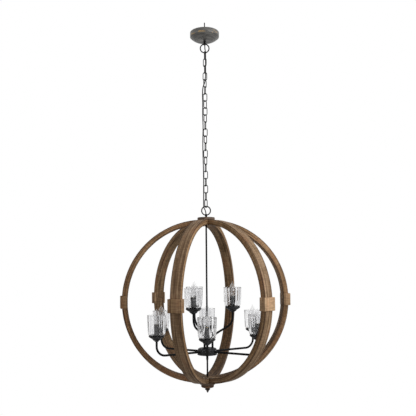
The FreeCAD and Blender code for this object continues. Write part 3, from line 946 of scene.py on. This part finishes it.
# A point in millimetres, turned back so that its rib lies along +X, with the equator at zero height.
def turnedBack(point, azimuth):
    turn = -math.radians(azimuth - 90)
    x = (point.x * math.cos(turn) - point.y * math.sin(turn)) / mm
    y = (point.x * math.sin(turn) + point.y * math.cos(turn)) / mm
    return x, y, point.z / mm - levels["equator"]


def ribGrain(azimuth, seed):
    def place(point):
        x, y, z = turnedBack(point, azimuth)
        out = max(x - orb["offset"], 0)
        along = math.atan2(z, out) * orb["radius"] + max(orb["offset"] - x, 0) * (1 if z > 0 else -1)
        return along + seed, y, orb["radius"] - math.hypot(out, z)

    return place


def collarGrain(azimuth, seed):
    def place(point):
        x, y, z = turnedBack(point, azimuth)
        return z + seed, y, x

    return place


def makeRibs():
    for word, side in (("upper", 1), ("lower", -1)):
        rib = makeQuarterRib(side)
        for number, azimuth in enumerate(ribAzimuths, 1):
            piece = copied(rib, "%sRib%d" % (word, number), azimuth, 0, levels["equator"])
            tone, warmth = orb[word + "Tones"][number - 1], orb[word + "Warmth"][number - 1]
            seed = number * orb["ribSeed"] + side * orb["halfSeed"]
            markGrain(piece, ribGrain(azimuth, seed), tone, warmth)
            wear(piece, "orb", "rib", "%s_rib_%d" % (word, number))
        discard(rib)


# A collar is a copy of its CAD node, merged and with soft edges.
def makeCollars():
    for number, azimuth in enumerate(ribAzimuths, 1):
        node = "rib_collar_%d" % number
        pick(frame["nodes"][node])
        bpy.ops.object.duplicate()
        piece = named("ribCollar%d" % number)
        piece.parent = None
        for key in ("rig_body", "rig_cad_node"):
            if key in piece:
                del piece[key]
        editAll(piece)
        bpy.ops.mesh.remove_doubles(threshold=0.01 * mm)
        bpy.ops.mesh.dissolve_limited(angle_limit=math.radians(1))
        bpy.ops.mesh.normals_make_consistent(inside=False)
        softEdges(piece, orb["collarEdge"], 2, 30)
        smoothShade(piece, 30)
        markGrain(piece, collarGrain(azimuth, number * orb["collarSeed"]), orb["collarTones"][number - 1])
        wear(piece, "orb", "collar", node)


plates = {
    "radius": 41.3, "lip": 4, "bulge": 2.0, "disc": 30, "discRound": 5, "hole": 4.3, "sides": 72,
    "topEdge": 1.2, "bottomEdge": 0.8, "topSeed": 90, "bottomSeed": 410, "discSeed": 700,
}


def flatGrain(seed):
    return lambda point: (point.x / mm + seed, point.y / mm, point.z / mm)


def makePlates():
    hole, radius, sides = plates["hole"], plates["radius"], plates["sides"]
    low, high = levels["orbTop"], levels["plateTop"]
    profile = [(hole, low), (radius, low), (radius, high), (hole, high), (hole, low)]
    top = turned("topPlate", profile, sides, plates["topEdge"])
    markGrain(top, flatGrain(plates["topSeed"]))
    wear(top, "orb", "plate", "top_plate")

    orbBottom = 2 * levels["equator"] - levels["orbTop"]
    low = levels["plateBottom"]
    profile = [(hole, orbBottom), (radius, orbBottom)]
    profile += bowed((radius, orbBottom - plates["lip"]), (plates["disc"], low), plates["bulge"], 8)
    profile += [(hole, low), (hole, orbBottom)]
    bottom = turned("bottomPlate", profile, sides, plates["bottomEdge"])
    markGrain(bottom, flatGrain(plates["bottomSeed"]))
    wear(bottom, "orb", "plate", "bottom_plate")

    corner = plates["discRound"]
    inner = plates["disc"] - corner
    low, high = levels["discBottom"], levels["plateBottom"]
    profile = [(hole, low), (hole, high)]
    profile += arcPoints((inner, high - corner), corner, 90, 0, 6)
    profile += arcPoints((inner, low + corner), corner, 0, -90, 6)
    profile += [(hole, low)]
    disc = turned("bottomDisc", profile, sides)
    markGrain(disc, flatGrain(plates["discSeed"]))
    wear(disc, "orb", "disc", "bottom_disc")


# The points are its top, belly, neck, waist and throat, counted from the disc.
finial = {
    "points": [(8.5, -1.5), (12.0, -11), (5.6, -17.5), (4.4, -19.5), (3.6, -21.1)],
    "bellyBulge": 0.9, "neckBulge": -1.4, "tip": 4.0, "height": 25, "sides": 40, "edge": 0.3,
}


def makeFinial():
    base, tip = levels["discBottom"], finial["tip"]
    top, belly, neck, waist, throat = lifted(finial["points"], base)
    profile = [(0, base), (top[0], base)] + bowed(top, belly, finial["bellyBulge"], 6)
    profile += bowed(belly, neck, finial["neckBulge"], 8)[1:] + [waist, throat]
    profile += arcPoints((0, base - finial["height"] + tip), tip, 0, -90, 8)
    piece = turned("turnedFinial", profile, finial["sides"], finial["edge"])
    markGrain(piece, lambda point: (point.z / mm, point.x / mm, point.y / mm))
    wear(piece, "orb", "finial", "finial")


makeRibs()
makeCollars()
makePlates()
makeFinial()
print("wooden orb made")


# Rod, hub and arms

# The rim and the inside are counted from the hub's foot, all else from its top.
hub = {
    "rim": [(45.7, 0), (46.5, 1), (46.5, 4), (45.5, 5), (44, 6)], "shoulder": (44, -9.5), "roof": (37, 0),
    "hole": [(4.3, 0), (4.3, -2)], "innerRoof": (36, -2), "innerShoulder": (42, -9.5), "bulge": 2.8,
    "inside": [(42, 5), (44.5, 3), (44.5, 0)], "wall": 2, "sides": 80, "edge": 0.3,
}


def makeHub():
    bottom, top = levels["hubBottom"], levels["hubTop"]
    dome = bowed(hub["shoulder"], hub["roof"], -hub["bulge"], 8) + hub["hole"]
    dome += bowed(hub["innerRoof"], hub["innerShoulder"], hub["bulge"], 8)
    profile = lifted(hub["rim"], bottom) + lifted(dome, top) + lifted(hub["inside"], bottom)
    piece = turned("hubBody", profile + profile[:1], hub["sides"], hub["edge"])
    wear(piece, "orb", "cast", "hub_body")


# The cover's outline starts at the hub's foot and has a shallow ring pressed into its underside.
cover = {
    "outline": [
        (4.05, 0), (20, 0), (22, 0.5), (41.3, 0.5), (42.8, 0), (44.3, 0.4), (44.3, 2), (4.05, 2), (4.05, 0),
    ],
    "edge": 0.2,
}


def makeCover():
    piece = turned("hubCover", lifted(cover["outline"], levels["hubBottom"]), hub["sides"], cover["edge"])
    wear(piece, "orb", "cast", "hub_cover")


rod = {"radius": 4.0, "bore": 2.8, "seat": 7.8, "sides": 28, "edge": 0.2}


def makeRod():
    low, high = levels["discBottom"] - rod["seat"], levels["plateTop"] + rod["seat"]
    bore, radius = rod["bore"], rod["radius"]
    profile = [(bore, low), (radius, low), (radius, high), (bore, high), (bore, low)]
    piece = turned("centreRod", profile, rod["sides"], rod["edge"])
    wear(piece, "orb", "black", "centre_rod")


arms = {
    "radius": 5.0, "startReach": 36, "heightInHub": 14.5, "lowerBend": 43, "rootDepth": 6,
    "upperRoot": 25, "rootBend": 50, "topBend": 50, "slope": 31, "rise": 52,
}


def spreadArms(arm, name, azimuths, node):
    copies = [copied(arm, arm.name, azimuth) for azimuth in azimuths]
    discard(arm)
    wear(joined(name, copies), "orb", "black", node)


def makeLowerArms():
    level = levels["hubBottom"] + arms["heightInHub"]
    bend = arms["lowerBend"]
    run = cups["lowerReach"] - bend - arms["startReach"]
    climb = levels["lowerCup"] + cups["armGrip"] - level - bend
    arm = bentBar("lowerArm", (arms["startReach"], level), 0, [run, (bend, 90), climb], arms["radius"])
    spreadArms(arm, "lowerArms", cups["lowerAzimuths"], "lower_arms")


# An upper arm rises from the hub's roof, bends out onto its slope and bends up again under its cup.
def makeUpperArms():
    root, slope = arms["upperRoot"], math.radians(arms["slope"])
    out = cups["upperReach"] - root
    start = levels["hubTop"] - hub["wall"] - arms["rootDepth"]
    highCorner = levels["upperCup"] - arms["rise"]
    lowCorner = highCorner - out * math.tan(slope)
    turn = 90 - arms["slope"]
    halfTan = math.tan(math.radians(turn) / 2)
    rootTangent, topTangent = arms["rootBend"] * halfTan, arms["topBend"] * halfTan
    run = out / math.cos(slope) - rootTangent - topTangent
    climb = levels["upperCup"] + cups["armGrip"] - highCorner - topTangent
    moves = [lowCorner - rootTangent - start, (arms["rootBend"], -turn), run, (arms["topBend"], turn), climb]
    arm = bentBar("upperArm", (root, start), 90, moves, arms["radius"])
    spreadArms(arm, "upperArms", cups["upperAzimuths"], "upper_arms")


makeHub()
makeCover()
makeRod()
makeLowerArms()
makeUpperArms()
print("rod, hub and arms made")


# Lamp cups, of which each piece is made once on the axis and copied to its nine places

def everyCup(piece):
    places = [(azimuth, cups["upperReach"], levels["upperCup"]) for azimuth in cups["upperAzimuths"]]
    places += [(azimuth, cups["lowerReach"], levels["lowerCup"]) for azimuth in cups["lowerAzimuths"]]
    copies = [copied(piece, piece.name, *place) for place in places]
    discard(piece)
    return copies


# From the hole for the arm round the knob, up the cone and over the raised edge to the floor.
dish = {
    "knob": [(0, 7.9), (5.1, 7.9), (5.1, 0), (8.3, 0), (9.3, 0.5), (9.5, 1.2), (9.5, 2.4), (9.7, 3)],
    "knobBulge": -1.4, "cone": (20, 12.5), "coneBulge": -0.8,
    "edge": [(34.9, 21.8), (35.5, 22.6), (35.5, 26.4), (35, 27), (34.2, 26.7), (34.2, 23.5), (0, 23.5)],
    "sides": 56,
}


def makeDishes():
    knob, cone, edge = dish["knob"], dish["cone"], dish["edge"]
    profile = knob + bowed(knob[-1], cone, dish["knobBulge"], 8)[1:]
    profile += bowed(cone, edge[0], dish["coneBulge"], 8)[1:] + edge[1:]
    copies = everyCup(turned("cupDish", profile, dish["sides"]))
    wear(joined("cupDishes", copies), "orb", "cast", "cup_dishes")


glass = {
    "foot": 23.7, "height": 94.3, "wall": 2.6, "footRadius": 28.5, "bowlRadius": 39, "bowlHeight": 19,
    "bowlBulge": 3.0, "sideBulge": 0.5, "rimRadius": 42.5, "hole": 10.5, "flutes": 18, "fluteSides": 6,
    "fluteDepth": 0.5, "fluteStart": 12, "innerShare": -0.25, "innerDrop": 1.6, "rimDip": 0.5, "rimZone": 3,
}


def makeGlasses():
    foot, wall, hole = glass["foot"], glass["wall"], glass["hole"]
    rim, bowlTop = foot + glass["height"], foot + glass["bowlHeight"]
    bowl, rimRadius = glass["bowlRadius"], glass["rimRadius"]
    outer = bowed((glass["footRadius"], foot), (bowl, bowlTop), -glass["bowlBulge"], 10)
    outer += bowed((bowl, bowlTop), (rimRadius, rim - wall / 2), -glass["sideBulge"], 8)[1:]
    rimArc = arcPoints((rimRadius - wall / 2, rim - wall / 2), wall / 2, 0, 180, 6)
    innerRim, innerBowl = (rimRadius - wall, rim - glass["innerDrop"]), (bowl - wall, bowlTop)
    innerFoot = (glass["footRadius"] - wall / 2, foot + wall)
    inner = bowed(innerRim, innerBowl, glass["sideBulge"], 8)
    inner += bowed(innerBowl, innerFoot, glass["bowlBulge"], 10)[1:]
    profile = [(hole, foot)] + outer + rimArc + inner + [(hole, foot + wall), (hole, foot)]
    piece = turned("glassShade", profile, glass["flutes"] * glass["fluteSides"])
    flute(piece, bowlTop, rim)
    wear(joined("glassShades", everyCup(piece)), "orb", "shade", "glass_shades")


# The outer wall is pressed in along even lines, and the rim dips a little at each of them.
def flute(piece, low, high):
    slope = (glass["rimRadius"] - glass["bowlRadius"]) / (high - low)
    for point in piece.data.vertices:
        radius, rise = math.hypot(point.co.x, point.co.y) / mm, point.co.z / mm - low
        if rise <= 0:
            continue
        share = 0.5 - 0.5 * math.cos(glass["flutes"] * math.atan2(point.co.y, point.co.x))
        onOuter = radius > glass["bowlRadius"] + slope * rise - glass["wall"] / 2
        push = share * glass["fluteDepth"] * min(1, rise / glass["fluteStart"])
        if not onOuter:
            push *= glass["innerShare"]
        point.co.x *= 1 - push / radius
        point.co.y *= 1 - push / radius
        if rise > high - low - glass["rimZone"]:
            point.co.z -= share * glass["rimDip"] * mm


sleeve = {
    "outline": [(9.7, 28.5), (11, 28.5), (11, 75.9), (10.6, 76.5), (9.7, 76.5), (9.7, 28.5)], "sides": 40,
}


def makeSleeves():
    copies = everyCup(turned("candleSleeve", sleeve["outline"], sleeve["sides"]))
    wear(joined("candleSleeves", copies), "orb", "sleeve", "candle_sleeves")


# Heights in a bulb are counted from its neck, where the glass meets the base.
bulb = {
    "neck": 76.5, "wall": 0.7, "sides": 40, "baseSides": 32, "stemSides": 24, "wireSides": 8,
    "foot": [(6.0, -1), (6.8, 0.4), (7.6, 1.2)], "belly": (17.2, 24), "shoulder": (3.4, 61),
    "tip": [(1.12, 69.2), (0, 70)], "bellyBulge": -3.2, "shoulderBulge": -2.6, "tipBulge": 0.5,
    "contact": [(0, -20), (2.2, -20), (2.8, -17.5), (5.4, -16)], "cap": [(5.9, -0.6), (5.2, 0.3), (0, 0.3)],
    "threadCrest": 5.9, "threadRoot": 5.5, "threadStart": -15, "threadPitch": 3, "threads": 3,
    "stem": [(0, 0.3), (4.2, 0.3), (3.0, 6), (1.6, 12), (1.6, 16), (0, 17.5)],
    "leadOut": 1.2, "leadStart": 12, "leadTilt": 12, "leadLength": 26, "leadRadius": 0.25,
    "glowStart": (-6.4, 37), "glowWay": 78, "glowRadius": 0.22,
    "glowMoves": [8, (3.4, -78), 5.2, (3.4, -78), 8],
}


def makeEnvelope():
    foot, belly, shoulder, tip = (bulb[key] for key in ("foot", "belly", "shoulder", "tip"))
    outline = foot + bowed(foot[-1], belly, bulb["bellyBulge"], 12)[1:]
    outline += bowed(belly, shoulder, bulb["shoulderBulge"], 14)[1:]
    outline += bowed(shoulder, tip[0], bulb["tipBulge"], 5)[1:] + tip[1:]
    wall = bulb["wall"]
    shell = [(max(radius - wall, 0), rise - (0 if radius else wall)) for radius, rise in reversed(outline)]
    return turned("envelope", lifted(outline + shell + outline[:1], bulb["neck"]), bulb["sides"])


def makeBulbBase():
    pitch = bulb["threadPitch"]
    outline = list(bulb["contact"])
    for number in range(bulb["threads"]):
        start = bulb["threadStart"] + number * pitch
        outline += [(bulb["threadCrest"], start), (bulb["threadRoot"], start + pitch / 2)]
    outline += [(bulb["threadCrest"], bulb["threadStart"] + bulb["threads"] * pitch)] + bulb["cap"]
    return turned("bulbBase", lifted(outline, bulb["neck"]), bulb["baseSides"])


def makeWires():
    neck, sides = bulb["neck"], bulb["wireSides"]
    wires = []
    for side in (-1, 1):
        start = (side * bulb["leadOut"], neck + bulb["leadStart"])
        way = 90 - side * bulb["leadTilt"]
        wires.append(bentBar("leadWire", start, way, [bulb["leadLength"]], bulb["leadRadius"], sides))
    start = lifted([bulb["glowStart"]], neck)[0]
    wires.append(bentBar("glowWire", start, bulb["glowWay"], bulb["glowMoves"], bulb["glowRadius"], sides))
    return wires


def makeBulbs():
    parts = [(makeEnvelope(), "bulb"), (makeBulbBase(), "brass")]
    parts += [(turned("glassStem", lifted(bulb["stem"], bulb["neck"]), bulb["stemSides"]), "bulb")]
    parts += [(wire, "zinc") for wire in makeWires()]
    for piece, material in parts:
        piece.data.materials.append(materials[material])
    whole = joined("candleBulb", [piece for piece, material in parts])
    for number, piece in enumerate(everyCup(whole), 1):
        piece.name = "candleBulb%d" % number
        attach(piece, "bulb_%d" % number)
        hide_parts("candle_bulb_%d" % number)


makeDishes()
makeGlasses()
makeSleeves()
makeBulbs()
print("lamp cups made")


# Pieces that keep their CAD form

dress = {
    "ceiling_crossbar": "zinc", "threaded_nipple": "zinc", "nipple_locknuts": "zinc", "arm_locknuts": "zinc",
    "hub_nuts": "black", "lamp_sockets": "socket",
}
for node, material in dress.items():
    slots = frame["nodes"][node].data.materials
    slots.clear()
    slots.append(materials[material])
print("CAD pieces dressed")
